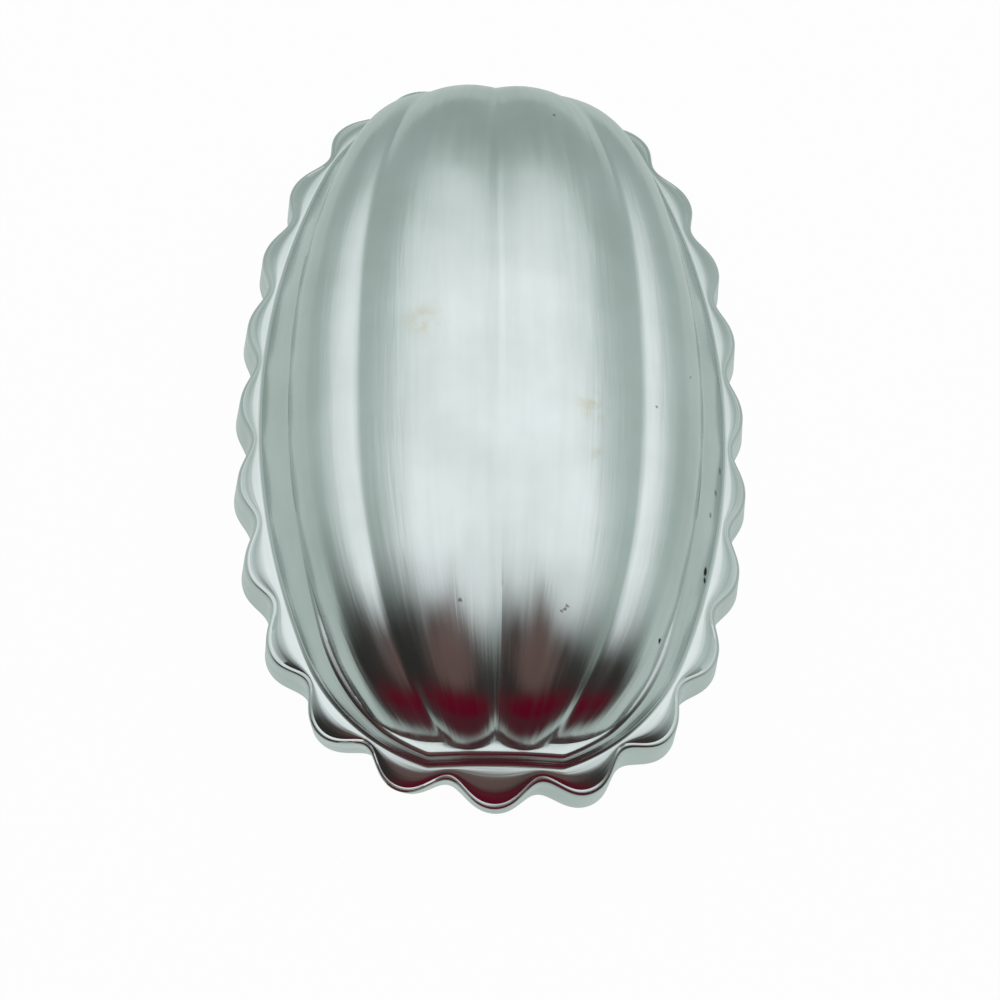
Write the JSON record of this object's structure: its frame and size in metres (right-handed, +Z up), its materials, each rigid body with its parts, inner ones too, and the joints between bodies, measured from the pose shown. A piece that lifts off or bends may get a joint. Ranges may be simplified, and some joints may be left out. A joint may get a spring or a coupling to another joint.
{
  "type": "jelly mold",
  "caption": "Oval jelly mold pressed from one sheet of aluminium: a lobed melon-shaped dome on a narrow flange with a scalloped, turned-down skirt.",
  "frame": {"origin": "middle of the footprint, level with the lower edge of the skirt that the mold stands on", "axes": "+Z up through the crown of the dome, +Y along the length of the mold, X across it; the mold stands dome up on its rim as in the picture"},
  "size_m": [0.1278, 0.2018, 0.0482],
  "materials": {
    "aluminium_sheet": "satin, faintly streaked lengthwise, aged"
  },
  "bodies": {
    "root": {"mould_shell": "aluminium_sheet"}
  },
  "joints": []
}
